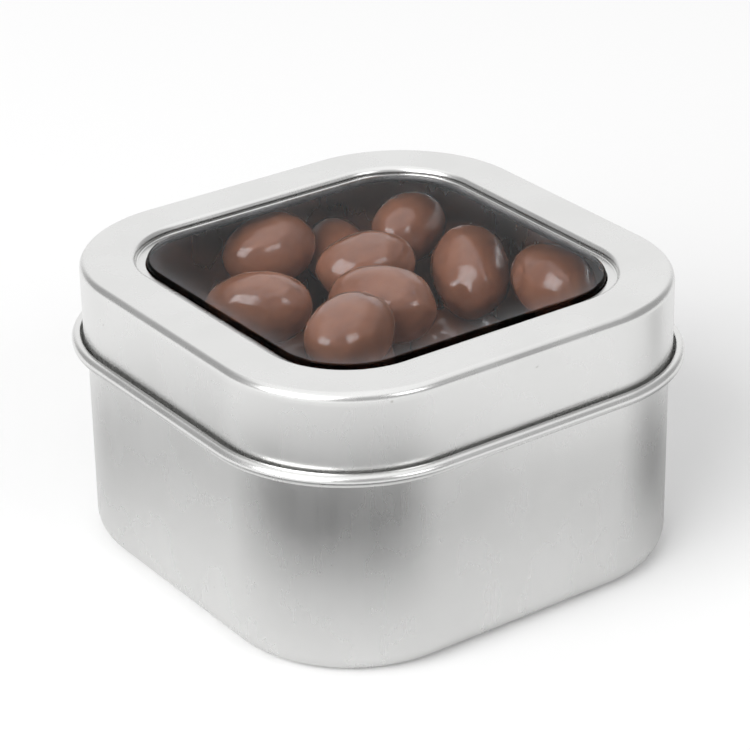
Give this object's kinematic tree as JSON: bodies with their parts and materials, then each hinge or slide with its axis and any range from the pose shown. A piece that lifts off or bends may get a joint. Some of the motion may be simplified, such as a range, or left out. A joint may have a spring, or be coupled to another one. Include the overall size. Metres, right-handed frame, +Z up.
{
  "type": "window lid tin",
  "caption": "Square tinplate tin with rounded corners and a slip lid that has a clear window set in a stepped ledge, shown filled with chocolate-coated almonds.",
  "frame": {"origin": "centre of the tin's footprint, on the surface that it stands on", "axes": "+Z up through the lid, X and Y square to the tin's sides"},
  "size_m": [0.0994, 0.0994, 0.057],
  "materials": {
    "tinplate": "satin tinplate with a fine rolled grain",
    "clear_sheet": "clear glossy sheet",
    "adhesive": "dried clear adhesive",
    "chocolate": "polished milk chocolate"
  },
  "bodies": {
    "tin": {"base_shell": "tinplate", "lower_almonds": "chocolate", "almond_back_left": "chocolate", "almond_back_middle": "chocolate", "almond_back_right": "chocolate", "almond_centre": "chocolate", "almond_front": "chocolate", "almond_left": "chocolate", "almond_middle": "chocolate", "almond_right": "chocolate", "almond_right_centre": "chocolate"},
    "lid": {"lid_shell": "tinplate", "window_pane": "clear_sheet", "window_glue": "adhesive"}
  },
  "joints": [
    {"name": "lid_lift", "type": "slide", "parent": "tin", "child": "lid", "axis": [0, 0, 1], "range_m": [0, 0.06]}
  ]
}
